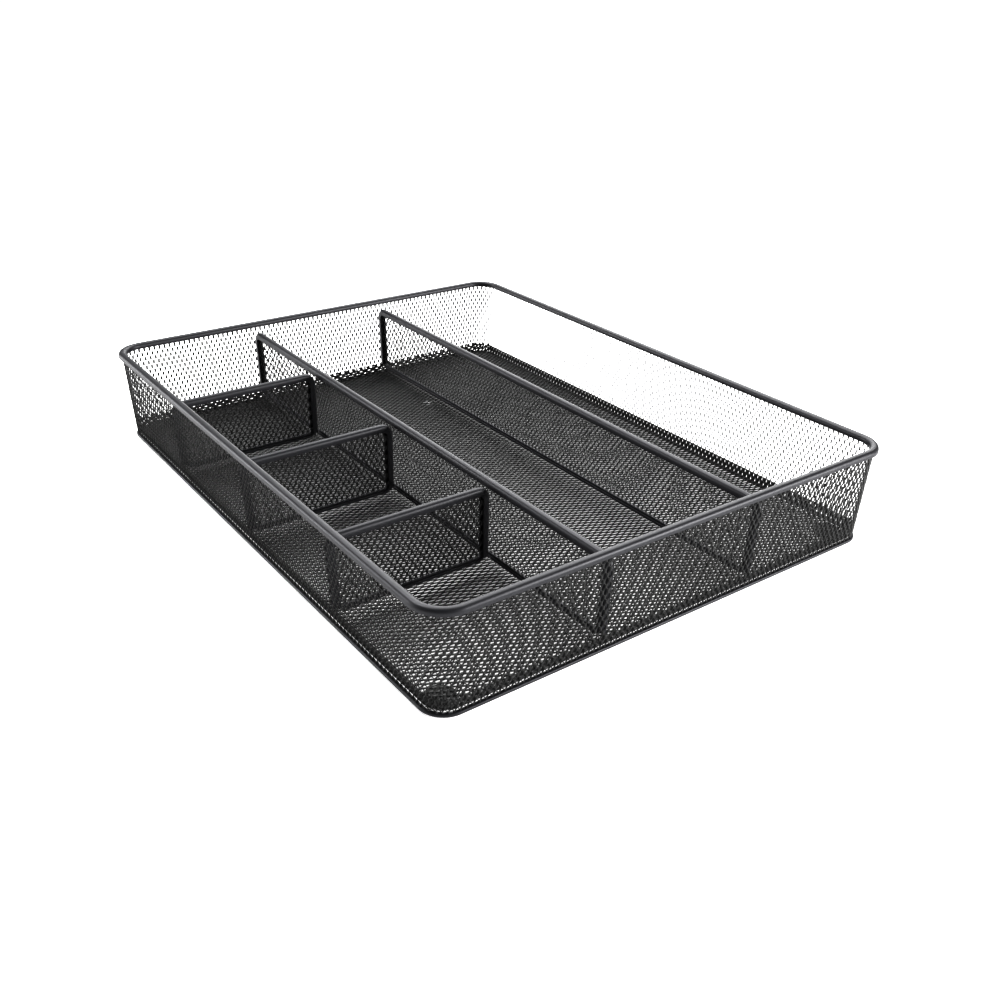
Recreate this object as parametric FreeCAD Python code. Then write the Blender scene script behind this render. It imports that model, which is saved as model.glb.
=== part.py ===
import FreeCAD, Part
import os

os.makedirs("parts", exist_ok=True)
Vec = FreeCAD.Vector

# Driving sizes in millimetres. Z is up, the origin is at the middle of the footprint,
# level with the undersides of the feet.
overall_width = 302.0          # along X, across the three columns
overall_depth = 384.0          # along Y, along the two long columns
overall_height = 59.5
outer_corner_radius = 18.0
wall_lean = 3.0                # how far each wall steps in from the rim down to the base

mesh_thickness = 0.6
rim_width = 5.0
rim_height = 3.6
rim_metal = 0.8

foot_diameter = 15.0
foot_height = 2.8
foot_chamfer = 0.5
foot_inset_x = 17.0            # foot centre from the outside of the rim
foot_inset_y = 20.0

binding_width = 2.6
binding_height = 2.0
binding_groove_depth = 1.2
binding_round = 0.8
flange_height = 5.0            # turned-up edge of the base sheet
flange_play = 0.05             # between that edge and the wall

divider_offset = 50.1          # both long dividers from the middle
crosspiece_pitch = 96.2        # from one short divider to the next
crosspiece_shift = 1.5         # middle short divider behind the middle of the tray
divider_drop = 6.4             # top of a long divider below the top of the rim
crosspiece_drop = 1.6          # top of a short divider below the top of a long one
rail_width = 4.6
rail_height = 4.2              # also the depth of the end posts, which are the same channel
rail_round = 1.5
rail_end_round = 2.0
sill_width = 3.2
sill_height = 3.0
sill_clearance = 4.0           # open gap between the base and a divider

# Sizes that follow from the ones above.
half_mesh = mesh_thickness / 2.0
rim_round = 0.38 * rim_width    # outer rounding of the rim, 1.9 on a 5 mm rim
rim_inner_round = rim_round - rim_metal
rim_line_x = overall_width / 2.0 - rim_width / 2.0
rim_line_y = overall_depth / 2.0 - rim_width / 2.0
rim_line_radius = outer_corner_radius - rim_width / 2.0
corner_x = rim_line_x - rim_line_radius
corner_y = rim_line_y - rim_line_radius
wall_top = overall_height - rim_metal
base_bottom = foot_height
base_top = base_bottom + mesh_thickness
binding_bottom = base_bottom - binding_height
half_binding_groove = 0.35 * binding_width
wall_bottom = base_bottom - binding_groove_depth
divider_top = overall_height - divider_drop
crosspiece_top = divider_top - crosspiece_drop
sill_bottom = base_top + sill_clearance
sill_top = sill_bottom + sill_height
half_rail = rail_width / 2.0
half_sill = sill_width / 2.0
long_x = (-divider_offset, divider_offset)
short_y = [crosspiece_shift + step * crosspiece_pitch for step in (-1, 0, 1)]
panel_corner_cut = rail_end_round - mesh_thickness


def step_in(z):
    """Distance from the rim line in to the middle of the leaning wall at height z."""
    return wall_lean * (wall_top - z) / (wall_top - wall_bottom)


def inner_x(z):
    return rim_line_x - step_in(z) - half_mesh


def inner_y(z):
    return rim_line_y - step_in(z) - half_mesh


def save(shape, name):
    shape.exportStep("parts/" + name + ".step")


def closed_wire(points):
    return Part.makePolygon(points + [points[0]])


def ruled_solid(lower, upper):
    return Part.makeLoft([lower, upper], True, True)


def turned(shape, degrees):
    copy = shape.copy()
    copy.rotate(Vec(0, 0, 0), Vec(0, 0, 1), degrees)
    return copy


def sector_wire(z, inner_radius, outer_radius):
    """Quarter ring in plan about the +X +Y corner centre."""
    cx = corner_x
    cy = corner_y
    half = 0.5 ** 0.5
    outer_start = Vec(cx + outer_radius, cy, z)
    outer_mid = Vec(cx + outer_radius * half, cy + outer_radius * half, z)
    outer_end = Vec(cx, cy + outer_radius, z)
    inner_start = Vec(cx, cy + inner_radius, z)
    inner_mid = Vec(cx + inner_radius * half, cy + inner_radius * half, z)
    inner_end = Vec(cx + inner_radius, cy, z)
    edges = [
        Part.Arc(outer_start, outer_mid, outer_end).toShape(),
        Part.makeLine(outer_end, inner_start),
        Part.Arc(inner_start, inner_mid, inner_end).toShape(),
        Part.makeLine(inner_end, outer_start),
    ]
    return Part.Wire(edges)


def mirrored(shape, flip_x, flip_y):
    result = shape
    if flip_x:
        result = result.mirror(Vec(0, 0, 0), Vec(1, 0, 0))
    if flip_y:
        result = result.mirror(Vec(0, 0, 0), Vec(0, 1, 0))
    return result


def leaning_strip(low, high, inside, outside):
    """Flat strip and corner of a leaning wall, between offsets inside and outside of its middle."""
    def band(z, reach):
        middle = reach - step_in(z)
        return middle - inside, middle + outside

    def side(half_length, reach):
        wires = []
        for z in (low, high):
            near, far = band(z, reach)
            wires.append(closed_wire([
                Vec(-half_length, near, z),
                Vec(half_length, near, z),
                Vec(half_length, far, z),
                Vec(-half_length, far, z),
            ]))
        return ruled_solid(wires[0], wires[1])

    def corner():
        wires = []
        for z in (low, high):
            near, far = band(z, rim_line_radius)
            wires.append(sector_wire(z, near, far))
        return ruled_solid(wires[0], wires[1])

    back = side(corner_x, rim_line_y)
    left = turned(side(corner_y, rim_line_x), 90)
    return back, left, corner()


def ring_parts(prefix, back, left, corner):
    """Save the four sides and four corners of something that runs round the tray."""
    save(back, prefix + "_back")
    save(mirrored(back, False, True), prefix + "_front")
    save(left, prefix + "_left")
    save(mirrored(left, True, False), prefix + "_right")
    save(corner, prefix + "_corner_back_right")
    save(mirrored(corner, True, False), prefix + "_corner_back_left")
    save(mirrored(corner, False, True), prefix + "_corner_front_right")
    save(mirrored(corner, True, True), prefix + "_corner_front_left")


def fused(shapes):
    body = shapes[0].multiFuse(shapes[1:])
    return body.removeSplitter()


def whole_ring(back, left, corner):
    pieces = [back, mirrored(back, False, True), left, mirrored(left, True, False)]
    for flip_x in (False, True):
        for flip_y in (False, True):
            pieces.append(mirrored(corner, flip_x, flip_y))
    return fused(pieces)


def rim_face(across, low):
    """Rim section: a channel open downwards with rounded shoulders, across = middle of the section."""
    high = low + rim_height
    out = rim_width / 2.0
    inn = out - rim_metal
    r = rim_round
    bend = r * (1.0 - 0.5 ** 0.5)
    q = rim_inner_round
    soft = q * (1.0 - 0.5 ** 0.5)
    ceiling = high - rim_metal

    def at(offset, z):
        return Vec(across + offset, 0, z)

    edges = [
        Part.makeLine(at(-out, low), at(-out, high - r)),
        Part.Arc(at(-out, high - r), at(-out + bend, high - bend), at(-out + r, high)).toShape(),
        Part.makeLine(at(-out + r, high), at(out - r, high)),
        Part.Arc(at(out - r, high), at(out - bend, high - bend), at(out, high - r)).toShape(),
        Part.makeLine(at(out, high - r), at(out, low)),
        Part.makeLine(at(out, low), at(inn, low)),
        Part.makeLine(at(inn, low), at(inn, ceiling - q)),
        Part.Arc(at(inn, ceiling - q), at(inn - soft, ceiling - soft), at(inn - q, ceiling)).toShape(),
        Part.makeLine(at(inn - q, ceiling), at(-inn + q, ceiling)),
        Part.Arc(at(-inn + q, ceiling), at(-inn + soft, ceiling - soft), at(-inn, ceiling - q)).toShape(),
        Part.makeLine(at(-inn, ceiling - q), at(-inn, low)),
        Part.makeLine(at(-inn, low), at(-out, low)),
    ]
    return Part.Face(Part.Wire(edges))


def binding_face(across):
    """Bottom binding section: a bar with rounded lower edges and a groove that holds the wall."""
    out = binding_width / 2.0
    groove = half_binding_groove
    low = binding_bottom
    high = base_bottom
    floor = wall_bottom
    r = binding_round
    bend = r * (1.0 - 0.5 ** 0.5)

    def at(offset, z):
        return Vec(across + offset, 0, z)

    edges = [
        Part.makeLine(at(-out, high), at(-out, low + r)),
        Part.Arc(at(-out, low + r), at(-out + bend, low + bend), at(-out + r, low)).toShape(),
        Part.makeLine(at(-out + r, low), at(out - r, low)),
        Part.Arc(at(out - r, low), at(out - bend, low + bend), at(out, low + r)).toShape(),
        Part.makeLine(at(out, low + r), at(out, high)),
        Part.makeLine(at(out, high), at(groove, high)),
        Part.makeLine(at(groove, high), at(groove, floor)),
        Part.makeLine(at(groove, floor), at(-groove, floor)),
        Part.makeLine(at(-groove, floor), at(-groove, high)),
        Part.makeLine(at(-groove, high), at(-out, high)),
    ]
    return Part.Face(Part.Wire(edges))


def run_round(section, reach_x, reach_y, corner_reach):
    """Sweep a section along one back side, one left side and one corner of the tray."""
    back_section = turned(section(reach_y), 90)
    back_section.translate(Vec(-corner_x, 0, 0))
    back = back_section.extrude(Vec(2.0 * corner_x, 0, 0))
    left_section = turned(section(reach_x), 180)
    left_section.translate(Vec(0, -corner_y, 0))
    left = left_section.extrude(Vec(0, 2.0 * corner_y, 0))
    corner = section(corner_reach).revolve(Vec(0, 0, 0), Vec(0, 0, 1), 90)
    corner.translate(Vec(corner_x, corner_y, 0))
    return back, left, corner


# Outer tray: rim, mesh wall, bottom binding and base sheet.
rim_low = overall_height - rim_height
rim = run_round(lambda across: rim_face(across, rim_low), rim_line_x, rim_line_y, rim_line_radius)
ring_parts("rim", *rim)

wall = leaning_strip(wall_bottom, wall_top, half_mesh, half_mesh)
ring_parts("wall", *wall)

low_step = step_in(wall_bottom)
binding = run_round(binding_face, rim_line_x - low_step, rim_line_y - low_step, rim_line_radius - low_step)
save(whole_ring(*binding), "bottom_binding")

flange_face = half_mesh + flange_play
flange = leaning_strip(base_bottom, base_bottom + flange_height, flange_face + mesh_thickness, -flange_face)
save(whole_ring(*flange), "base_flange")

base_edge = step_in(base_bottom) + flange_face + mesh_thickness
base_x = rim_line_x - base_edge
base_y = rim_line_y - base_edge
base_radius = rim_line_radius - base_edge
plate = Part.makeBox(2.0 * base_x, 2.0 * base_y, mesh_thickness, Vec(-base_x, -base_y, base_bottom))
upright_edges = [edge for edge in plate.Edges if abs(edge.tangentAt(edge.FirstParameter).z) > 0.9]
save(plate.makeFillet(base_radius, upright_edges), "base_sheet")

foot_x = overall_width / 2.0 - foot_inset_x
foot_y = overall_depth / 2.0 - foot_inset_y
for side_word, foot_side in (("left", -1), ("right", 1)):
    for end_word, foot_end in (("front", -1), ("back", 1)):
        foot_centre = Vec(foot_side * foot_x, foot_end * foot_y, 0)
        foot = Part.makeCylinder(foot_diameter / 2.0, foot_height, foot_centre)
        lower_rings = [edge for edge in foot.Edges if edge.BoundBox.ZMax < 0.01]
        save(foot.makeChamfer(foot_chamfer, lower_rings), "foot_" + end_word + "_" + side_word)


def rail_bar(start, end, top):
    """Top rail of a divider along Y at x = 0: a rounded bar with a slot for the mesh."""
    bar = Part.makeBox(rail_width, end - start, rail_height, Vec(-half_rail, start, top - rail_height))
    shoulders = []
    for edge in bar.Edges:
        box = edge.BoundBox
        if box.ZMin > top - 0.01 and box.YLength > 1.0:
            shoulders.append(edge)
    bar = bar.makeFillet(rail_round, shoulders)
    slot_height = rail_height - mesh_thickness
    slot = Part.makeBox(mesh_thickness, end - start, slot_height, Vec(-half_mesh, start, top - rail_height))
    return bar.cut(slot).common(round_ended(start, end, top))


def round_ended(start, end, top):
    """Block as wide and high as a rail, with the two upper corners of its ends rounded."""
    low = top - rail_height
    r = rail_end_round
    bend = r * (1.0 - 0.5 ** 0.5)

    def at(y, z):
        return Vec(-half_rail, y, z)

    edges = [
        Part.makeLine(at(start, low), at(end, low)),
        Part.makeLine(at(end, low), at(end, top - r)),
        Part.Arc(at(end, top - r), at(end - bend, top - bend), at(end - r, top)).toShape(),
        Part.makeLine(at(end - r, top), at(start + r, top)),
        Part.Arc(at(start + r, top), at(start + bend, top - bend), at(start, top - r)).toShape(),
        Part.makeLine(at(start, top - r), at(start, low)),
    ]
    return Part.Face(Part.Wire(edges)).extrude(Vec(rail_width, 0, 0))


def sill_bar(start, end):
    """Bottom rail of a divider along Y at x = 0: a bar with a slot for the mesh."""
    bar = Part.makeBox(sill_width, end - start, sill_height, Vec(-half_sill, start, sill_bottom))
    slot_low = sill_bottom + mesh_thickness
    slot = Part.makeBox(mesh_thickness, end - start, sill_top - slot_low, Vec(-half_mesh, start, slot_low))
    return bar.cut(slot)


def panel(outline):
    """Mesh panel at x = 0 from (y, z) corner points."""
    wire = closed_wire([Vec(-half_mesh, y, z) for y, z in outline])
    return Part.Face(wire).extrude(Vec(mesh_thickness, 0, 0))


def post(face_at, into, low, high, back_metal):
    """End post at x = 0: a bar on a wall at y = face_at(z), slotted for the mesh.

    into is +1 or -1, the way from the wall into the tray; back_metal is what the slot leaves."""
    def block(near, far, half_width):
        wires = []
        for z in (low, high):
            first, last = sorted((face_at(z) + into * near, face_at(z) + into * far))
            wires.append(closed_wire([
                Vec(-half_width, first, z),
                Vec(half_width, first, z),
                Vec(half_width, last, z),
                Vec(-half_width, last, z),
            ]))
        return ruled_solid(wires[0], wires[1])

    bar = block(0.0, rail_height, half_rail)
    return bar.cut(block(back_metal, rail_height + mesh_thickness, half_mesh))


post_low = max(base_bottom + flange_height, sill_top)
panel_low = sill_bottom + mesh_thickness
flange_gap = flange_play + mesh_thickness


def flange_y(z):
    return inner_y(z) - flange_gap


def flange_x(z):
    return inner_x(z) - flange_gap


# Long dividers run from the front wall to the back wall.
long_panel_top = divider_top - mesh_thickness
long_shoulder = long_panel_top - panel_corner_cut
long_post_top = divider_top - rail_height
sill_reach = flange_y(sill_bottom)
rail_reach = inner_y(long_post_top)
end_low = flange_y(panel_low)
end_shoulder = flange_y(long_shoulder)
end_high = flange_y(long_panel_top) - panel_corner_cut
for word, x in zip(("left", "right"), long_x):
    shift = Vec(x, 0, 0)
    back_post = post(inner_y, -1, post_low, long_post_top, flange_gap)
    pieces = {
        "rail": rail_bar(-rail_reach, rail_reach, divider_top),
        "sill": sill_bar(-sill_reach, sill_reach),
        "panel": panel([
            (-end_low, panel_low),
            (end_low, panel_low),
            (end_shoulder, long_shoulder),
            (end_high, long_panel_top),
            (-end_high, long_panel_top),
            (-end_shoulder, long_shoulder),
        ]),
        "post_back": back_post,
        "post_front": mirrored(back_post, False, True),
    }
    for piece_word, shape in pieces.items():
        shape.translate(shift)
        save(shape, "divider_" + word + "_" + piece_word)

# Short dividers run from the left wall to the rail of the left long divider. They are drawn
# along Y with the wall end at +Y, then turned a quarter turn so that end faces -X.
stop = divider_offset + half_rail
sill_stop = divider_offset + half_sill
panel_stop = stop + mesh_thickness
short_panel_top = crosspiece_top - mesh_thickness
short_shoulder = short_panel_top - panel_corner_cut
short_post_top = crosspiece_top - rail_height
for word, y in zip(("front", "middle", "back"), short_y):
    pieces = {
        "rail": rail_bar(stop, inner_x(short_post_top), crosspiece_top),
        "sill": sill_bar(sill_stop, flange_x(sill_bottom)),
        "panel": panel([
            (panel_stop, panel_low),
            (flange_x(panel_low), panel_low),
            (flange_x(short_shoulder), short_shoulder),
            (flange_x(short_panel_top) - panel_corner_cut, short_panel_top),
            (panel_stop + panel_corner_cut, short_panel_top),
            (panel_stop, short_shoulder),
        ]),
        "post_wall": post(inner_x, -1, post_low, short_post_top, flange_gap),
        "post_divider": post(lambda z: stop, 1, post_low, short_post_top, mesh_thickness),
    }
    for piece_word, shape in pieces.items():
        placed = turned(shape, 90)
        placed.translate(Vec(0, y, 0))
        save(placed, "crosspiece_" + word + "_" + piece_word)
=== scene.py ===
"""A drawer tray in black expanded-metal mesh: wall strip, rim, base, dividers and feet."""
import math

import bpy
import numpy as np
from mathutils import Matrix, Vector


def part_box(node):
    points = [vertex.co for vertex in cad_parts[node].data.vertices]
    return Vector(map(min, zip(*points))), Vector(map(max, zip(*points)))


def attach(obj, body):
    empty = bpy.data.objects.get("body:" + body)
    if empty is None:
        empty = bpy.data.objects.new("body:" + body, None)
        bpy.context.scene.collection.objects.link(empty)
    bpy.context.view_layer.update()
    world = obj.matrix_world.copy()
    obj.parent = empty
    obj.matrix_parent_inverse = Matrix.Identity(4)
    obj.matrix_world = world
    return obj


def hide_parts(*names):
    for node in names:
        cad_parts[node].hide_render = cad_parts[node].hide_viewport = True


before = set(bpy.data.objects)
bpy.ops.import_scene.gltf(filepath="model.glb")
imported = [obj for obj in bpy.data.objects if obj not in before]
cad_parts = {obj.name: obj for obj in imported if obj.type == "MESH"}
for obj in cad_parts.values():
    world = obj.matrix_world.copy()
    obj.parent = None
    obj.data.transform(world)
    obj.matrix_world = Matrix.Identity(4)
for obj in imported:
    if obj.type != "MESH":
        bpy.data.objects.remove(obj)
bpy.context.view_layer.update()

bl_info = {
    "name": "Mesh Desk Tray",
    "version": (1, 0, 0),
    "blender": (4, 5, 0),
    "location": "3D Viewport > Sidebar > Desk Tray",
    "description": "Builds a black mesh drawer tray with two long dividers and three short ones",
    "category": "Add Mesh",
}

MM = 0.001
BODY = "root"
SIDES = ("front", "corner_front_right", "right", "corner_back_right",
         "back", "corner_back_left", "left", "corner_front_left")
LONG_DIVIDERS = ("left", "right")
CROSSPIECES = ("front", "middle", "back")

DENT_PLACE = (43.0 * MM, 112.0 * MM)    # x and y of the small dent in the base
FLANGE_INSET = 0.95 * MM    # from the wall's middle to the middle of the base's turned-up edge
BASE_FOLD = 1.2 * MM        # radius of the fold round the base
CHANNEL_GAP = 0.12 * MM     # between a divider's channel and the wall beside it
SILL_TAIL = 0.8 * MM        # straight end of a bottom rail after it turns up
STRIP_SHARP = math.radians(50)      # edges sharper than this stay crisp on a strip
FOOT_SHARP = math.radians(60)       # the same on a foot
SIDE_STEPS, CORNER_STEPS = 8, 16    # cross-sections on a straight side and on a corner
FOOT_STEPS = 48                     # points round a foot

# a foot's outline from the hollow in its underside up to its top, as shares of radius and height
FOOT_OUTLINE = np.array([[0.55, 0.10], [0.70, 0.02], [0.84, 0.0], [0.93, 0.06], [0.985, 0.22],
                         [1.0, 0.45], [0.985, 0.70], [0.94, 0.90], [0.86, 1.0]])


# ---------------------------------------------------------------- sizes taken from the CAD parts

def low_high(node):
    """Lowest and highest corner of a CAD node as two arrays."""
    low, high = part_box(node)
    return np.array(low), np.array(high)


rim_low, rim_high = low_high("rim_back")
wall_low, wall_high = low_high("wall_back")
corner_x = rim_high[0]
corner_y = low_high("rim_right")[1][1]
sheet_thickness = np.ptp(low_high("divider_left_panel"), axis=0)[0]
rim_width = rim_high[1] - rim_low[1]
rim_bottom, rim_top = rim_low[2], rim_high[2]
rim_radius = rim_high[1] - rim_width / 2 - corner_y
wall_bottom, wall_top = wall_low[2], wall_high[2]
wall_lean = wall_high[1] - wall_low[1] - sheet_thickness
base_low, base_high = low_high("base_sheet")
base_middle = (base_low[2] + base_high[2]) / 2
flange_top = low_high("base_flange")[1][2]
binding_low, binding_high = low_high("bottom_binding")


def step_in(z):
    """How far the wall's middle stands in from the rim line: it falls evenly from base to rim."""
    return wall_lean * (wall_top - z) / (wall_top - wall_bottom)


def inner_reach(z, corner):
    """Distance from the tray's middle to the inner face of a wall at height z."""
    return corner + rim_radius - step_in(z) - sheet_thickness / 2


def side_lengths():
    """Lengths of the rim line's eight parts in the order of SIDES: straight side, quarter arc."""
    quarter = rim_radius * math.pi / 2
    return np.array([2 * corner_x, quarter, 2 * corner_y, quarter] * 2)


def side_starts():
    """Where each of those parts starts along the rim line, and where the last one ends."""
    return np.concatenate([[0.0], np.cumsum(side_lengths())])


base_reach = rim_radius - step_in(base_middle) - FLANGE_INSET


# ---------------------------------------------------------------- settings

def length(name, description, default):
    return bpy.props.FloatProperty(name=name, description=description, default=default,
                                   subtype="DISTANCE", unit="LENGTH", precision=5)


def angle(name, description, default):
    return bpy.props.FloatProperty(name=name, description=description, default=default,
                                   subtype="ANGLE", unit="ROTATION")


def colour(name, description, default):
    return bpy.props.FloatVectorProperty(name=name, description=description, default=default,
                                         subtype="COLOR", size=3, min=0.0, max=1.0)


def fraction(name, description, default):
    return bpy.props.FloatProperty(name=name, description=description, default=default,
                                   subtype="FACTOR", min=0.0, max=1.0)


class TrayMeshSettings(bpy.types.PropertyGroup):
    """Sizes of the expanded-metal mesh and of the base's dent."""
    columns_round: bpy.props.IntProperty(
        name="Columns Round", description="Openings round the wall strip, side by side", default=383)
    long_way: length("Long Way", "Pitch of the openings along their long way", 6.06 * MM)
    short_way: length("Short Way", "Pitch of the openings along their short way", 3.46 * MM)
    bond_length: length("Bond Length", "Length of the uncut metal between two openings", 1.9 * MM)
    strand: length("Strand", "Width of one strand before the sheet is stretched", 0.62 * MM)
    base_strand: length("Base Strand", "Width of one strand of the base sheet", 0.75 * MM)
    edge_strand: length("Edge Strand", "Width of a strand in the base's pressed edge", 1.40 * MM)
    thickness: length("Thickness", "Thickness of the coated sheet", 0.38 * MM)
    twist: angle("Twist", "How far the strands turn out of the sheet", math.radians(-32.0))
    base_long_way: length("Base Long Way", "Long-way pitch of the base sheet", 6.2 * MM)
    base_twist: angle("Base Twist", "How far the base strands turn out of the sheet",
                      math.radians(-38.0))
    dent_depth: length("Dent Depth", "Depth of the small dent in the base", 1.1 * MM)
    dent_radius: length("Dent Radius", "Reach of that dent", 2.6 * MM)


class TrayStripSettings(bpy.types.PropertyGroup):
    """Sizes of the folded strips."""
    rim_metal: length("Rim Metal", "Thickness of the rim channel", 0.8 * MM)
    rim_skirt: length("Rim Skirt", "Straight part of the rim below its rounding", 1.0 * MM)
    rail_metal: length("Rail Metal", "Thickness of the channel round a divider", 0.7 * MM)
    rail_skirt: length("Rail Skirt", "Straight part of a rail below its rounding", 1.4 * MM)
    rail_bend: length("Rail Bend", "Inner radius where the channel turns down a wall", 3.0 * MM)
    sill_bend: length("Sill Bend", "Radius of a bottom rail where it turns up", 5.0 * MM)


class TrayFinishSettings(bpy.types.PropertyGroup):
    """Colours and gloss."""
    strip_colour: colour("Strip Coat", "Powder coat on rim, rails and binding", (0.013, 0.013, 0.0135))
    mesh_colour: colour("Mesh Coat", "Powder coat on the mesh", (0.020, 0.020, 0.021))
    rubber_colour: colour("Rubber", "Foot pads", (0.014, 0.014, 0.014))
    strip_roughness: fraction("Strip Roughness", "Roughness of the coat on the strips", 0.18)
    mesh_roughness: fraction("Mesh Roughness", "Roughness of the coat on the mesh", 0.38)
    floor_colour: colour("Floor", "Table under the tray", (0.90, 0.90, 0.90))
    floor_glow: fraction("Floor Glow", "Light that the table itself gives", 0.7)


# ---------------------------------------------------------------- meshes

def new_piece(name, points, quads, caps=(), map_points=None, sharp=None):
    """Mesh object from an array of points, an array of quads and a few cap polygons.
    map_points gives each point's place on the flat pattern of the piece."""
    mesh = bpy.data.meshes.new(name)
    points = np.asarray(points, dtype=np.float64).reshape(-1, 3)
    quads = np.asarray(quads, dtype=np.int64).reshape(-1, 4)
    faces = quads.tolist() + [list(map(int, cap)) for cap in caps]
    mesh.from_pydata(points.tolist(), [], faces)
    mesh.update()
    if map_points is not None:
        corners = np.empty(len(mesh.loops), dtype=np.int32)
        mesh.loops.foreach_get("vertex_index", corners)
        layer = mesh.uv_layers.new(name="OFBake")
        layer.data.foreach_set("uv", map_points[corners].astype(np.float32).ravel())
    mesh.polygons.foreach_set("use_smooth", np.ones(len(mesh.polygons), dtype=bool))
    if sharp is not None:
        mesh.set_sharp_from_angle(angle=sharp)
    piece = bpy.data.objects.new(name, mesh)
    bpy.context.scene.collection.objects.link(piece)
    return piece


def finish_piece(piece, finish, nodes):
    """Give a piece its material and body, and hide the CAD nodes that it stands for."""
    piece.data.materials.append(finish_named(finish))
    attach(piece, BODY)
    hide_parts(*nodes)


def expanded_sheet(weave, columns, rows, keep):
    """Openings of an expanded sheet in flat coordinates (u, v, n), as points and quads.

    Bonds stand at every column and row, every second row shifted by half the short way. A bond
    is six points: left, middle and right at its top, right, middle and left at its bottom. All
    metal is turned by the twist about v, so a bond's left edge rises by strand * sin(twist) and
    its right edge falls as much. A strand joins half of a bond's top edge to half of the bottom
    edge of the bond half a pitch to its left or right. The sheet is the same pattern twice,
    half a thickness out and half a thickness in along the turned normal, with a wall along
    every edge that only one face uses. keep(u, v) says which faces stay, and the weave's
    strand(u, v) and twist(u, v) give the strand width and the twist from place to place.
    """
    first_column, last_column = columns
    first_row, last_row = rows
    i, j = np.meshgrid(np.arange(first_column, last_column + 1),
                       np.arange(first_row, last_row + 1))
    centre_u = (i + 0.5 * (j % 2)) * weave["short"] + weave["u0"]
    centre_v = j * weave["long"] / 2 + weave["v0"]
    strand_width, twist = (np.broadcast_to(weave[k](centre_u, centre_v), centre_u.shape)[..., None]
                           for k in ("strand", "twist"))
    half_bond = weave["bond"] / 2
    bond_side = np.array([-1, 0, 1, 1, 0, -1])
    bond_end = np.array([1, 1, 1, -1, -1, -1])
    u = centre_u[..., None] + strand_width * np.cos(twist) * bond_side
    v = centre_v[..., None] + half_bond * bond_end
    n = -strand_width * np.sin(twist) * bond_side
    shape = centre_u.shape
    ids = np.arange(u.size).reshape(shape + (6,))
    top_left, top_mid, top_right, low_right, low_mid, low_left = (ids[..., k] for k in range(6))
    quads = [np.stack([low_left, low_mid, top_mid, top_left], -1).reshape(-1, 4),
             np.stack([low_mid, low_right, top_right, top_mid], -1).reshape(-1, 4)]
    middle_u = [centre_u.ravel(), centre_u.ravel()]
    middle_v = [centre_v.ravel(), centre_v.ravel()]
    row, column = (index.ravel() for index in np.indices(shape))
    for side in (-1, 1):
        odd = (j[row, column] % 2) == 1
        target = column + np.where(odd, (side + 1) // 2, (side - 1) // 2)
        good = (row + 1 < shape[0]) & (target >= 0) & (target < shape[1])
        r, c, t = row[good], column[good], target[good]
        if side < 0:
            strand = [top_left[r, c], top_mid[r, c], low_right[r + 1, t], low_mid[r + 1, t]]
        else:
            strand = [top_mid[r, c], top_right[r, c], low_mid[r + 1, t], low_left[r + 1, t]]
        quads.append(np.stack(strand, -1))
        middle_u.append(centre_u[r, c])
        middle_v.append(centre_v[r, c])
    quads = np.concatenate(quads)
    kept = keep(np.concatenate(middle_u), np.concatenate(middle_v))
    quads = quads[kept]
    total = u.size
    start, end = quads.ravel(), np.roll(quads, -1, axis=1).ravel()
    lone = ~np.isin(start * total + end, end * total + start)
    start, end = start[lone], end[lone]
    walls = np.stack([start, start + total, end + total, end], -1)
    faces = np.concatenate([quads, quads[:, ::-1] + total, walls])
    half = weave["thickness"] / 2
    shift_u, shift_n = ((half * turned + 0 * u).ravel() for turned in (np.sin(twist), np.cos(twist)))
    points = np.concatenate([
        np.stack([u.ravel() + shift_u, v.ravel(), n.ravel() + shift_n], -1),
        np.stack([u.ravel() - shift_u, v.ravel(), n.ravel() - shift_n], -1)])
    used, faces = np.unique(faces, return_inverse=True)
    return points[used], faces.reshape(-1, 4)


def flat_map(points):
    """Bake map of a sheet: u and v shrunk to fit, nudged by n so that edges keep some width."""
    nudge, margin, span = 0.35, 0.02, 0.96
    flat = points[:, :2] + nudge * points[:, 2:3]
    low, size = flat.min(0), np.ptp(flat, axis=0).max()
    return margin + span * (flat - low) / size


def arch_profile(width, height, skirt, metal, steps=10):
    """Channel open downwards: an arch outside and a parallel one inside, joined at the lips.
    The arch is a straight skirt, then a rounded top, x = w cos(t)^0.85, z = skirt + h sin(t)^0.85,
    for t from 0 to a half turn."""
    t = np.linspace(0.0, math.pi, 2 * steps + 1)
    power = 0.85

    def arch(half, top, foot):
        x = half * np.sign(np.cos(t)) * np.abs(np.cos(t)) ** power
        z = foot + (top - foot) * np.abs(np.sin(t)) ** power
        return np.stack([np.concatenate([[half], x, [-half]]),
                         np.concatenate([[0.0], z, [0.0]])], -1)

    outside = arch(width / 2, height, skirt)
    inside = arch(width / 2 - metal, height - metal, skirt)[::-1]
    lip = 0.25 * metal
    outside[[0, -1], 1] += lip
    inside[[0, -1], 1] += lip
    right_lip = np.array([[width / 2 - metal / 2, 0.0]])
    left_lip = np.array([[-width / 2 + metal / 2, 0.0]])
    return np.concatenate([outside, left_lip, inside, right_lip])


def ledge_profile(width, height):
    """Bottom rail: a bar, narrower above its middle, with small rounded corners. Points run
    counterclockwise from the lower right."""
    half, step, r = width / 2, 0.75 * MM, 0.30 * MM
    mid = 0.50 * height
    right = np.array([[half - r, 0.0], [half - 0.3 * r, 0.3 * r], [half, r],
                      [half, mid - 0.6 * r], [half - 0.35 * r, mid],
                      [half - step, mid + 0.1 * r], [half - step, height - r],
                      [half - step - 0.3 * r, height - 0.3 * r], [half - step - r, height]])
    return np.concatenate([right, right[::-1] * [-1, 1]])


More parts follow.
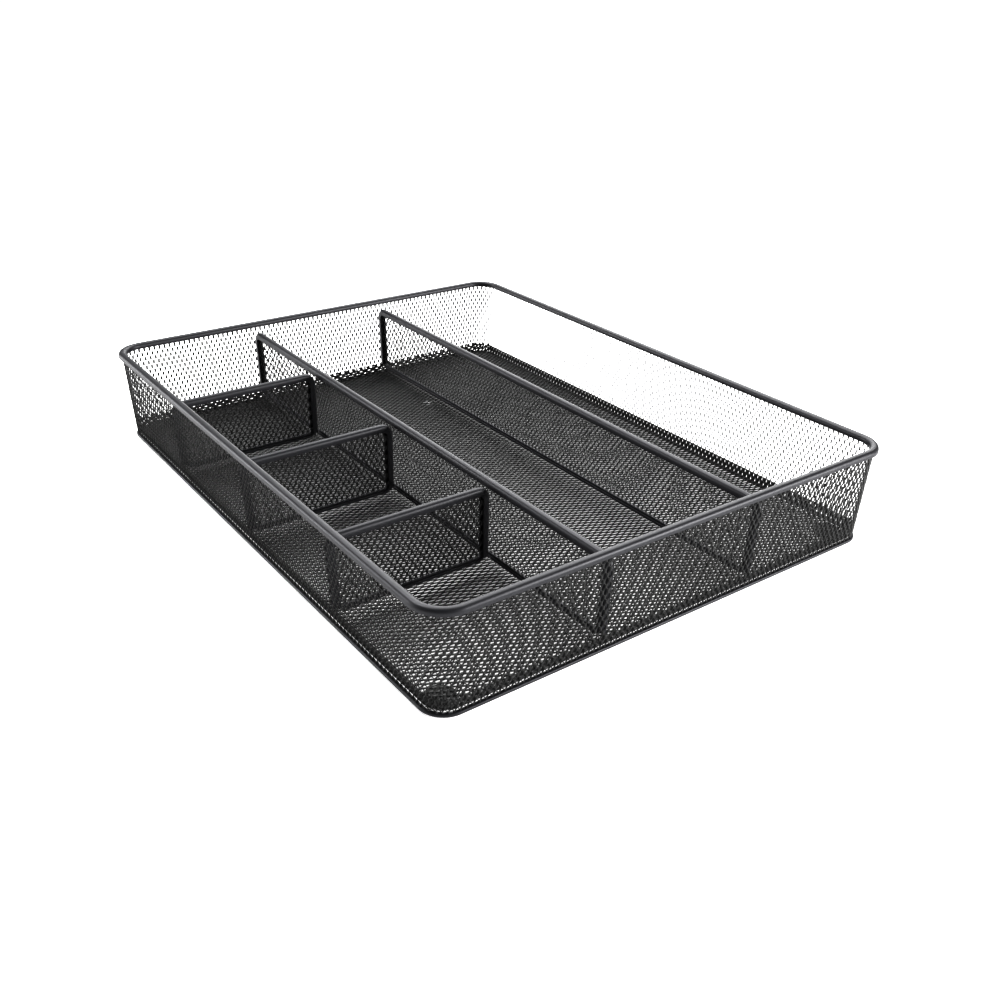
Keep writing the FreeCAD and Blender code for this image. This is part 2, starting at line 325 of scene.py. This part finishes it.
def bead_profile(width, height, steps=12):
    """Bottom binding: a full bead, the superellipse x^2.6 + z^2.6 = 1 of its half sizes."""
    t = np.linspace(0.0, 2 * math.pi, 2 * steps, endpoint=False)
    power = 2 / 2.6
    x = width / 2 * np.sign(np.cos(t)) * np.abs(np.cos(t)) ** power
    z = height / 2 * np.sign(np.sin(t)) * np.abs(np.sin(t)) ** power
    return np.stack([x, z + height / 2], -1)


def grid_quads(rows, columns, closed_rows, closed_columns):
    """Quads of a grid of points, row by row, optionally closed either way."""
    r = np.arange(rows if closed_rows else rows - 1)
    c = np.arange(columns if closed_columns else columns - 1)
    r, c = (a.ravel() for a in np.meshgrid(r, c, indexing="ij"))
    r2, c2 = (r + 1) % rows, (c + 1) % columns
    return np.stack([r * columns + c, r2 * columns + c, r2 * columns + c2, r * columns + c2], -1)


def round_tray(u, outwards):
    """Point outwards from the tray's corner line: u runs round the rim line from the front
    left, counterclockwise, along four straight sides and four quarter arcs. A side moves the
    centre of the radius and a corner turns it, so point = centre + outwards * (cos, sin)."""
    lengths, starts = side_lengths(), side_starts()
    u = np.mod(u, starts[-1])
    k = np.clip(np.searchsorted(starts, u, side="right") - 1, 0, len(SIDES) - 1)
    f = (u - starts[k]) / lengths[k]
    x = corner_x * np.array([-1, 1, 1, 1, 1, -1, -1, -1, -1])
    y = corner_y * np.array([-1, -1, -1, 1, 1, 1, 1, -1, -1])
    turn = np.radians([-90, -90, 0, 0, 90, 90, 180, 180, 270])
    centre_x = x[k] + (x[k + 1] - x[k]) * f
    centre_y = y[k] + (y[k + 1] - y[k]) * f
    heading = turn[k] + (turn[k + 1] - turn[k]) * f
    return centre_x + outwards * np.cos(heading), centre_y + outwards * np.sin(heading)


def ring_stations():
    """Places along the rim line for a strip's cross-sections: few on a side, many on a corner."""
    starts = side_starts()
    steps = (SIDE_STEPS, CORNER_STEPS) * 4
    return np.concatenate([np.linspace(starts[k], starts[k + 1], steps[k] + 1)[:-1]
                           for k in range(len(SIDES))])


def ring_strip(name, profile, middle, bottom):
    """A profile carried round the tray: x of the profile points outwards, z points up."""
    u = ring_stations()
    out = middle + profile[None, :, 0] + np.zeros((len(u), 1))
    x, y = round_tray(np.repeat(u[:, None], len(profile), 1), out)
    z = bottom + np.broadcast_to(profile[None, :, 1], x.shape)
    quads = grid_quads(len(u), len(profile), True, True)
    return new_piece(name, np.stack([x, y, z], -1), quads, sharp=STRIP_SHARP)


def bent_strip(name, profile, path, place):
    """A profile carried along a path in an upright plane. path rows are distance along, height
    and heading; profile x lies across the plane and profile z along the path's normal. The two
    ends are closed with a flat cap. place turns (along, across, up) into a point."""
    along, height, heading = path.T[:, :, None]
    px, pz = profile.T
    points = place(along - np.sin(heading) * pz, np.zeros_like(along) + px,
                   height + np.cos(heading) * pz)
    count = len(profile)
    last = (len(path) - 1) * count
    quads = grid_quads(len(path), count, False, True)
    caps = [np.arange(count), last + np.arange(count)[::-1]]
    return new_piece(name, points, quads, caps, sharp=STRIP_SHARP)


def turned_end_path(start, end, level, bend, tail, direction):
    """Straight run from start to end whose two ends turn by a quarter circle and go on for a
    tail, down for direction -1 and up for +1. Columns: distance along, height, heading."""
    t = np.linspace(math.pi / 2, 0.0, 8)
    left = np.stack([start + bend - bend * np.sin(t), level + direction * bend * (1 - np.cos(t)),
                     -direction * t], -1)
    right = np.stack([end - bend + bend * np.sin(t[::-1]),
                      level + direction * bend * (1 - np.cos(t[::-1])), direction * t[::-1]], -1)
    low = level + direction * (bend + tail)
    head = np.array([[start, low, -direction * math.pi / 2]])
    foot = np.array([[end, low, direction * math.pi / 2]])
    middle = np.linspace(left[-1], right[0], 12)[1:-1]
    return np.concatenate([head, left, middle, right, foot])


# ---------------------------------------------------------------- finishes

COAT_CLOUDS, COAT_SHEEN, COAT_PEEL = 28.0, 60.0, 1500.0    # noise scales, in lumps a metre
RUBBER_BLOOM, RUBBER_GRAIN, TABLE_CLOUDS = 220.0, 2600.0, 1.3
PEEL_DEPTH, GRAIN_DEPTH = 0.018 * MM, 0.08 * MM
STRIP_GLOSS, MESH_GLOSS = 1.75, 1.5    # index of refraction of the coat


class Signal:
    """A socket that takes part in sums. Each operator adds one Math node."""

    def __init__(self, finish, socket):
        self.finish = finish
        self.socket = socket

    def _join(self, operation, first, second):
        made = self.finish.node("ShaderNodeMath", {"operation": operation}, {0: first, 1: second})
        return Signal(self.finish, made.outputs[0])

    def __add__(self, other):
        return self._join("ADD", self, other)

    def __radd__(self, other):
        return self._join("ADD", other, self)

    def __sub__(self, other):
        return self._join("SUBTRACT", self, other)

    def __rsub__(self, other):
        return self._join("SUBTRACT", other, self)

    def __mul__(self, other):
        return self._join("MULTIPLY", self, other)

    def __rmul__(self, other):
        return self._join("MULTIPLY", other, self)


class Finish:
    """One material and the nodes of its shader."""

    def __init__(self, name):
        self.material = bpy.data.materials.new(name)
        self.material.use_nodes = True
        self.material.node_tree.nodes.clear()

    def node(self, kind, settings=None, inputs=None):
        """A node of one kind: its settings first, then the value or link of each socket."""
        made = self.material.node_tree.nodes.new(kind)
        for key, value in (settings or {}).items():
            setattr(made, key, value)
        for key, value in (inputs or {}).items():
            if isinstance(value, Signal):
                self.material.node_tree.links.new(value.socket, made.inputs[key])
            else:
                made.inputs[key].default_value = value
        return made

    def signal(self, kind, settings=None, inputs=None, output=0):
        """One output of a new node, ready for sums."""
        return Signal(self, self.node(kind, settings, inputs).outputs[output])

    def object_place(self):
        """Object coordinates."""
        return self.signal("ShaderNodeTexCoord", output="Object")

    def noise(self, place, scale, detail):
        """Cloudy noise between 0 and 1."""
        return self.signal("ShaderNodeTexNoise", {"noise_dimensions": "3D"},
                           {"Vector": place, "Scale": scale, "Detail": detail,
                            "Roughness": 0.55}, "Fac")

    def blend(self, factor, first, second):
        """A colour between two: sockets 6 and 7 are the Mix node's colours."""
        made = self.node("ShaderNodeMix", {"data_type": "RGBA", "blend_type": "MIX"},
                         {0: factor, 6: first, 7: second})
        return Signal(self, made.outputs[2])

    def bump(self, height, strength, depth):
        """Normal of a surface that the height lifts by up to the depth."""
        return self.signal("ShaderNodeBump", None,
                           {"Strength": strength, "Distance": depth, "Height": height}, "Normal")

    def shader(self, inputs):
        """The finished material, with these inputs on its shader."""
        shader = self.signal("ShaderNodeBsdfPrincipled", None, inputs)
        self.node("ShaderNodeOutputMaterial", None, {"Surface": shader})
        return self.material


def shade(rgb, factor):
    """A colour made lighter or darker, with alpha 1."""
    return tuple(min(1.0, c * factor) for c in rgb) + (1.0,)


def powder_coat(name, rgb, roughness, gloss, peel_depth=0.0):
    """Black powder coat: cloudy tone and sheen over some centimetres, and on the strips a fine
    orange peel in the surface."""
    coat = Finish(name)
    place = coat.object_place()
    tone = coat.blend(coat.noise(place, COAT_CLOUDS, 3.0), shade(rgb, 0.82), shade(rgb, 1.22))
    rough = (roughness - 0.05) + 0.10 * coat.noise(place, COAT_SHEEN, 2.0)
    inputs = {"Base Color": tone, "Roughness": rough, "IOR": gloss, "Specular IOR Level": 0.5}
    if peel_depth:
        inputs["Normal"] = coat.bump(coat.noise(place, COAT_PEEL, 3.0), 0.5, peel_depth)
    return coat.shader(inputs)


def rubber(name, rgb):
    """Matt rubber with a dusty bloom and a fine grain."""
    skin = Finish(name)
    place = skin.object_place()
    bloom = skin.noise(place, RUBBER_BLOOM, 4.0)
    tone = skin.blend(bloom, shade(rgb, 0.7), shade(rgb, 1.9))
    grain = skin.bump(skin.noise(place, RUBBER_GRAIN, 2.0), 0.6, GRAIN_DEPTH)
    return skin.shader({"Base Color": tone, "Roughness": 0.72 + 0.12 * bloom,
                        "Specular IOR Level": 0.4, "Normal": grain})


def finish_named(name):
    """The material of that name, made when it is first asked for."""
    found = bpy.data.materials.get(name)
    if found:
        return found
    look = bpy.context.scene.tray_finish
    if name == "coated_strip":
        return powder_coat(name, look.strip_colour, look.strip_roughness, STRIP_GLOSS, PEEL_DEPTH)
    if name == "coated_mesh":
        return powder_coat(name, look.mesh_colour, look.mesh_roughness, MESH_GLOSS)
    if name == "foot_rubber":
        return rubber(name, look.rubber_colour)
    raise RuntimeError("no finish named " + name)


# ---------------------------------------------------------------- pieces

def strip_weave(settings, **changes):
    """The wall strip's pattern, with a whole number of openings round the tray."""
    strand, twist = settings.strand, settings.twist
    weave = {"short": side_starts()[-1] / settings.columns_round, "long": settings.long_way,
             "bond": settings.bond_length, "strand": lambda u, v: strand,
             "twist": lambda u, v: twist, "thickness": settings.thickness, "u0": 0.0, "v0": 0.0}
    weave.update(changes)
    return weave


class TRAY_OT_wall_mesh(bpy.types.Operator):
    """Wrap one strip of expanded mesh round the tray, cut where the sides meet the corners"""
    bl_idname = "desk_tray.wall_mesh"
    bl_label = "Wall Mesh"

    def execute(self, context):
        weave = strip_weave(context.scene.tray_mesh)
        weave["v0"] = wall_bottom + weave["bond"] / 2
        rows = int((wall_top - wall_bottom - weave["bond"]) / (weave["long"] / 2))
        starts = side_starts()
        for k, side in enumerate(SIDES):
            columns = (int(starts[k] / weave["short"]) - 2, int(starts[k + 1] / weave["short"]) + 2)
            flat, quads = expanded_sheet(
                weave, columns, (0, rows),
                lambda u, v: (u >= starts[k]) & (u < starts[k + 1]))
            u, z, n = flat.T
            x, y = round_tray(u, rim_radius - step_in(z) + n)
            piece = new_piece("wall_mesh_" + side, np.stack([x, y, z], -1), quads,
                              map_points=flat_map(flat))
            finish_piece(piece, "coated_mesh", ["wall_" + side])
        return {"FINISHED"}


class TRAY_OT_rim(bpy.types.Operator):
    """Fold the rim channel over the top of the wall strip"""
    bl_idname = "desk_tray.rim"
    bl_label = "Rim"

    def execute(self, context):
        sizes = context.scene.tray_strips
        profile = arch_profile(rim_width, rim_top - rim_bottom, sizes.rim_skirt, sizes.rim_metal)
        piece = ring_strip("rim", profile, rim_radius, rim_bottom)
        finish_piece(piece, "coated_strip",
                     ["rim_" + side for side in SIDES])
        return {"FINISHED"}


class TRAY_OT_bottom_binding(bpy.types.Operator):
    """Run the bead round the lower edge of the wall strip"""
    bl_idname = "desk_tray.bottom_binding"
    bl_label = "Bottom Binding"

    def execute(self, context):
        height = binding_high[2] - binding_low[2]
        middle = rim_radius - step_in(wall_bottom)
        width = 2 * (binding_high[1] - corner_y - middle)
        piece = ring_strip("bottom_binding_bead", bead_profile(width, height), middle,
                           binding_low[2])
        finish_piece(piece, "coated_strip", ["bottom_binding"])
        return {"FINISHED"}


def past_corner(x, y):
    """How far a point of the flat base lies outside the rectangle of the corner centres."""
    return np.maximum(np.abs(x) - corner_x, 0), np.maximum(np.abs(y) - corner_y, 0)


def press_base(x, y, n, dent):
    """Place on the pressed base sheet. Inside the fold line the sheet is flat but for one dent,
    a bell curve. Beyond it a point at flat distance d climbs: first round the fold radius, then
    up beside the leaning wall. The direction is outwards from the rounded outline, so corners
    gather like a pressed sheet."""
    fold = BASE_FOLD
    dent_depth, dent_radius, dent_x, dent_y = dent
    out_x, out_y = past_corner(x, y)
    distance = np.maximum(np.hypot(out_x, out_y), 1e-9)
    sunk = dent_depth * np.exp(-((x - dent_x) ** 2 + (y - dent_y) ** 2) / (2 * dent_radius ** 2))
    way_x, way_y = np.sign(x) * out_x / distance, np.sign(y) * out_y / distance
    near_x, near_y = np.clip(x, -corner_x, corner_x), np.clip(y, -corner_y, corner_y)
    past = distance - (base_reach - fold)
    turn = np.clip(past / fold, 0.0, math.pi / 2)
    above = np.maximum(past - fold * math.pi / 2, 0.0)
    climb = fold * (1 - np.cos(turn)) + above
    flat_part = np.minimum(distance, base_reach - fold)
    lean = climb * wall_lean / (wall_top - wall_bottom)
    outward = flat_part + fold * np.sin(turn) + lean - n * np.sin(turn)
    return (near_x + way_x * outward, near_y + way_y * outward,
            base_middle + climb - sunk + n * np.cos(turn))


class TRAY_OT_base_mesh(bpy.types.Operator):
    """Press the base sheet with its turned-up edge, in three panels that meet under the dividers"""
    bl_idname = "desk_tray.base_mesh"
    bl_label = "Base Mesh"

    def execute(self, context):
        settings = context.scene.tray_mesh
        open_strand, edge_strand = settings.base_strand, settings.edge_strand
        base_twist = settings.base_twist
        rise = flange_top - base_middle - BASE_FOLD * (1 - math.pi / 2)
        cut = base_reach + rise
        dent = (settings.dent_depth, settings.dent_radius, *DENT_PLACE)

        def pressed(u, v):
            beyond = np.hypot(*past_corner(-v, u)) - base_reach + 2 * BASE_FOLD
            return np.clip(beyond / BASE_FOLD, 0.0, 1.0)

        def strand_width(u, v):
            return open_strand + (edge_strand - open_strand) * pressed(u, v)

        def strand_twist(u, v):
            return base_twist * (1.0 - pressed(u, v))

        weave = strip_weave(settings, long=settings.base_long_way, twist=strand_twist,
                            short=settings.short_way, strand=strand_width)
        splits = [-math.inf, *(low_high("divider_%s_panel" % word)[0][0] + sheet_thickness / 2
                               for word in LONG_DIVIDERS), math.inf]
        columns = int((corner_y + cut) / weave["short"]) + 2
        rows = int((corner_x + cut) / (weave["long"] / 2)) + 2
        for word, low, high in zip(("left", "middle", "right"), splits[:-1], splits[1:]):
            def keep(u, v):
                return (np.hypot(*past_corner(-v, u)) < cut) & (-v >= low) & (-v < high)

            flat, quads = expanded_sheet(weave, (-columns, columns), (-rows, rows), keep)
            x, y, z = press_base(-flat[:, 1], flat[:, 0], flat[:, 2], dent)
            piece = new_piece("base_mesh_" + word, np.stack([x, y, z], -1), quads,
                              map_points=flat_map(flat))
            finish_piece(piece, "coated_mesh",
                         ["base_sheet", "base_flange"])
        return {"FINISHED"}


def divider_pieces(context, prefix, posts, run, place, lean):
    """Mesh, channel and bottom rail of one divider, ready finished. run is (start, end) along it
    at the height of the panel's middle, place turns (along, across, up) into points, and
    lean(along, z) moves a point with the leaning walls. The channel is one strip: down one wall,
    over the top and down the other, open towards the mesh."""
    mesh_sizes, strips = context.scene.tray_mesh, context.scene.tray_strips
    rail_low, rail_high = low_high(prefix + "_rail")
    sill_low, sill_high = low_high(prefix + "_sill")
    panel_low, panel_high = low_high(prefix + "_panel")
    channel_width = min(np.ptp([rail_low, rail_high], axis=0)[:2])
    channel_height = rail_high[2] - rail_low[2]
    start, end = run
    middle, half_run = (start + end) / 2, (end - start) / 2
    weave = strip_weave(mesh_sizes, v0=panel_low[2] + mesh_sizes.bond_length / 2)
    rows = int((panel_high[2] - panel_low[2] - weave["bond"]) / (weave["long"] / 2))
    columns = int(half_run / weave["short"]) + 2
    inside = half_run - channel_height / 2
    flat, quads = expanded_sheet(weave, (-columns, columns), (0, rows),
                                 lambda u, v: np.abs(u) < inside)
    u, z, n = flat.T
    points = place(lean(middle + u, z), n, z)
    mesh_piece = new_piece(prefix + "_mesh", points, quads, map_points=flat_map(flat))

    def leaning(a, across, up):
        return place(lean(a, up), across, up)

    channel = arch_profile(channel_width, channel_height, strips.rail_skirt, strips.rail_metal)
    post_foot = low_high(prefix + posts[0])[0][2]
    tail = rail_low[2] - strips.rail_bend - post_foot
    inset, nest = channel_height + CHANNEL_GAP, channel_height / 2
    channel_path = turned_end_path(start + inset, end - inset, rail_low[2], strips.rail_bend,
                                   tail, -1)
    rail = bent_strip(prefix + "_channel", channel, channel_path, leaning)
    sill_profile = ledge_profile(min(np.ptp([sill_low, sill_high], axis=0)[:2]),
                                 sill_high[2] - sill_low[2])
    sill_path = turned_end_path(start + nest, end - nest, sill_low[2], strips.sill_bend,
                                SILL_TAIL, 1)
    sill = bent_strip(prefix + "_bottom_rail", sill_profile, sill_path, leaning)
    finish_piece(mesh_piece, "coated_mesh", [prefix + "_panel"])
    finish_piece(rail, "coated_strip",
                 [prefix + "_rail", *(prefix + post for post in posts)])
    finish_piece(sill, "coated_strip", [prefix + "_sill"])


class TRAY_OT_long_dividers(bpy.types.Operator):
    """Stand the two long dividers between the front and back walls"""
    bl_idname = "desk_tray.long_dividers"
    bl_label = "Long Dividers"

    def execute(self, context):
        for word in LONG_DIVIDERS:
            prefix = "divider_" + word
            panel_low, panel_high = low_high(prefix + "_panel")
            x = (panel_low[0] + panel_high[0]) / 2
            reference = (panel_low[2] + panel_high[2]) / 2
            half = inner_reach(reference, corner_y)

            def place(along, across, up):
                return np.stack([x + across, along, up], -1)

            def lean(along, up):
                return along * inner_reach(up, corner_y) / half

            divider_pieces(context, prefix, ("_post_front", "_post_back"), (-half, half),
                           place, lean)
        return {"FINISHED"}


class TRAY_OT_crosspieces(bpy.types.Operator):
    """Stand the three short dividers between the left wall and the left long divider"""
    bl_idname = "desk_tray.crosspieces"
    bl_label = "Short Dividers"

    def execute(self, context):
        divider_face = -low_high("divider_left_rail")[0][0]
        for word in CROSSPIECES:
            prefix = "crosspiece_" + word
            panel_low, panel_high = low_high(prefix + "_panel")
            y = (panel_low[1] + panel_high[1]) / 2
            reference = (panel_low[2] + panel_high[2]) / 2
            wall = inner_reach(reference, corner_x)

            def place(along, across, up):
                return np.stack([-along, y + across, up], -1)

            def lean(along, up):
                share = (along - divider_face) / (wall - divider_face)
                return along + share * (inner_reach(up, corner_x) - wall)

            divider_pieces(context, prefix, ("_post_divider", "_post_wall"),
                           (divider_face, wall), place, lean)
        return {"FINISHED"}


class TRAY_OT_feet(bpy.types.Operator):
    """Set the four rubber pads under the corners, each its outline turned once round"""
    bl_idname = "desk_tray.feet"
    bl_label = "Feet"

    def execute(self, context):
        for end in ("front", "back"):
            for side in ("left", "right"):
                node = "foot_%s_%s" % (end, side)
                low, high = low_high(node)
                centre = (low + high) / 2
                radius, height = (high[0] - low[0]) / 2, high[2] - low[2]
                turn = np.linspace(0.0, 2 * math.pi, FOOT_STEPS, endpoint=False)[:, None]
                x = centre[0] + radius * np.cos(turn) * FOOT_OUTLINE[:, 0]
                y = centre[1] + radius * np.sin(turn) * FOOT_OUTLINE[:, 0]
                z = low[2] + height * FOOT_OUTLINE[:, 1] + 0 * x
                rings = len(FOOT_OUTLINE)
                quads = grid_quads(FOOT_STEPS, rings, True, False)
                first = np.arange(FOOT_STEPS) * rings
                caps = [first[::-1], first + rings - 1]
                piece = new_piece("rubber_" + node, np.stack([x, y, z], -1), quads, caps,
                                  sharp=FOOT_SHARP)
                finish_piece(piece, "foot_rubber", [node])
        return {"FINISHED"}


# ---------------------------------------------------------------- stage

LAMPS = {    # place, width, height and power
    "light_right": ((0.90, 0.80, 1.15), 1.4, 1.4, 46.0),
    "light_high": ((-0.20, 0.85, 1.45), 0.5, 0.5, 27.0),
    "light_front": ((0.85, -1.25, 0.36), 0.45, 0.60, 38.0),
    "light_back": ((1.15, 1.15, 0.24), 1.2, 0.40, 9.0),
    "light_far_left": ((-1.05, 1.15, 0.30), 0.6, 0.6, 19.0),
}
STUDIO_LIGHT, VIEW_GAMMA = 0.40, 0.70
TABLE_HALF, TABLE_POINTS = 15.0, 25
GLOW_FROM, GLOW_FULL = 7 * MM, 3 * MM    # inside the binding's outer edge, where the glow starts
CAMERA_ANGLES = (-36.92, 27.64, 1.40)    # azimuth, elevation and roll, in degrees
CAMERA_TARGET = np.array([0.32, -34.45, 0.8]) * MM
CAMERA_DISTANCE = 643.73 * MM
CAMERA_LENS, CAMERA_SENSOR = 38.39, 36.0


def soft_box(name, place, width, height, power):
    """A rectangular studio light that faces the tray's middle."""
    data = bpy.data.lights.new(name, "AREA")
    data.shape = "RECTANGLE"
    data.size, data.size_y, data.energy = width, height, power
    lamp = bpy.data.objects.new(name, data)
    lamp.location = place
    lamp.rotation_euler = (-Vector(place)).to_track_quat("-Z", "Y").to_euler()
    lamp.visible_camera = False
    bpy.context.scene.collection.objects.link(lamp)


def light_table(rgb, glow):
    """White table that gives off light except under the tray, so that no shadow falls beside it."""
    table = Finish("table_white")
    place = table.object_place()
    split = table.node("ShaderNodeSeparateXYZ", None, {0: place})

    def past(offset, corner):
        """How far a coordinate lies past the corner centre, or 0."""
        size = table.signal("ShaderNodeMath", {"operation": "ABSOLUTE"}, {0: offset})
        return table.signal("ShaderNodeMath", {"operation": "MAXIMUM"}, {0: size - corner, 1: 0.0})

    out_x = past(Signal(table, split.outputs[0]), corner_x)
    out_y = past(Signal(table, split.outputs[1]), corner_y)
    distance = table.signal("ShaderNodeMath", {"operation": "SQRT"},
                            {0: out_x * out_x + out_y * out_y})
    edge = binding_high[1] - corner_y
    # sockets: value, then from and to of the distance, then from and to of the glow
    lit = table.signal("ShaderNodeMapRange", {"interpolation_type": "SMOOTHSTEP"},
                       {0: distance, 1: edge - GLOW_FROM, 2: edge - GLOW_FULL, 3: 0.0, 4: 1.0})
    tone = table.blend(table.noise(place, TABLE_CLOUDS, 2.0), shade(rgb, 0.985), shade(rgb, 1.0))
    glow_tone = table.blend(lit, (0.0, 0.0, 0.0, 1.0), (1.0, 1.0, 1.0, 1.0))
    return table.shader({"Base Color": tone, "Roughness": 0.9, "Specular IOR Level": 0.0,
                         "Emission Color": glow_tone, "Emission Strength": glow})


class TRAY_OT_stage(bpy.types.Operator):
    """Set the pale table, the soft lights and the camera"""
    bl_idname = "desk_tray.stage"
    bl_label = "Stage"

    def execute(self, context):
        scene = context.scene
        look = scene.tray_finish
        x, y = np.meshgrid(*[np.linspace(-TABLE_HALF, TABLE_HALF, TABLE_POINTS)] * 2)
        floor = new_piece("table_top", np.stack([x, y, np.zeros_like(x)], -1),
                          grid_quads(TABLE_POINTS, TABLE_POINTS, False, False)[:, ::-1])
        floor.data.materials.append(light_table(look.floor_colour, look.floor_glow))

        world = bpy.data.worlds.new("studio_white")
        world.use_nodes = True
        sky = world.node_tree.nodes["Background"]
        sky.inputs["Color"].default_value = (1.0, 1.0, 1.0, 1.0)
        sky.inputs["Strength"].default_value = STUDIO_LIGHT
        scene.world = world
        for name, lamp in LAMPS.items():
            soft_box(name, *lamp)

        azimuth, elevation, roll = np.radians(CAMERA_ANGLES)
        away = np.array([math.sin(azimuth) * math.cos(elevation),
                         -math.cos(azimuth) * math.cos(elevation), math.sin(elevation)])
        right = np.array([math.cos(azimuth), math.sin(azimuth), 0.0])
        up = np.cross(right, -away)
        side = math.cos(roll) * right + math.sin(roll) * up
        top = -math.sin(roll) * right + math.cos(roll) * up
        place = CAMERA_TARGET + away * CAMERA_DISTANCE
        data = bpy.data.cameras.new("camera")
        data.sensor_width, data.lens = CAMERA_SENSOR, CAMERA_LENS
        data.clip_start, data.clip_end = 0.01, 50.0
        camera = bpy.data.objects.new("camera", data)
        pose = Matrix.Identity(4)
        for row in range(3):
            pose[row][:] = (side[row], top[row], away[row], place[row])
        camera.matrix_world = pose
        scene.collection.objects.link(camera)
        scene.camera = camera
        scene.view_settings.view_transform = "Standard"
        scene.view_settings.gamma = VIEW_GAMMA
        return {"FINISHED"}


class TRAY_PT_sidebar(bpy.types.Panel):
    """Lists the tray's settings and pieces"""
    bl_label = "Desk Tray"
    bl_idname = "TRAY_PT_sidebar"
    bl_space_type = "VIEW_3D"
    bl_region_type = "UI"
    bl_category = "Desk Tray"

    def draw(self, context):
        layout = self.layout
        for setting in SETTINGS:
            group = getattr(context.scene, setting)
            box = layout.box()
            for name in group.__annotations__:
                box.prop(group, name)
        for operator in PIECE_OPERATORS:
            layout.operator(operator.bl_idname)


PIECE_OPERATORS = (TRAY_OT_wall_mesh, TRAY_OT_rim, TRAY_OT_bottom_binding, TRAY_OT_base_mesh,
                   TRAY_OT_long_dividers, TRAY_OT_crosspieces, TRAY_OT_feet, TRAY_OT_stage)
SETTINGS = {"tray_mesh": TrayMeshSettings, "tray_strips": TrayStripSettings,
            "tray_finish": TrayFinishSettings}


def register():
    for kind in (*SETTINGS.values(), *PIECE_OPERATORS, TRAY_PT_sidebar):
        bpy.utils.register_class(kind)
    for name, kind in SETTINGS.items():
        setattr(bpy.types.Scene, name, bpy.props.PointerProperty(type=kind))


def unregister():
    for name in SETTINGS:
        delattr(bpy.types.Scene, name)
    for kind in (TRAY_PT_sidebar, *reversed(PIECE_OPERATORS), *SETTINGS.values()):
        bpy.utils.unregister_class(kind)


def main():
    register()
    bpy.ops.desk_tray.wall_mesh()
    bpy.ops.desk_tray.rim()
    bpy.ops.desk_tray.bottom_binding()
    bpy.ops.desk_tray.base_mesh()
    bpy.ops.desk_tray.long_dividers()
    bpy.ops.desk_tray.crosspieces()
    bpy.ops.desk_tray.feet()
    bpy.ops.desk_tray.stage()


if __name__ == "__main__":
    main()
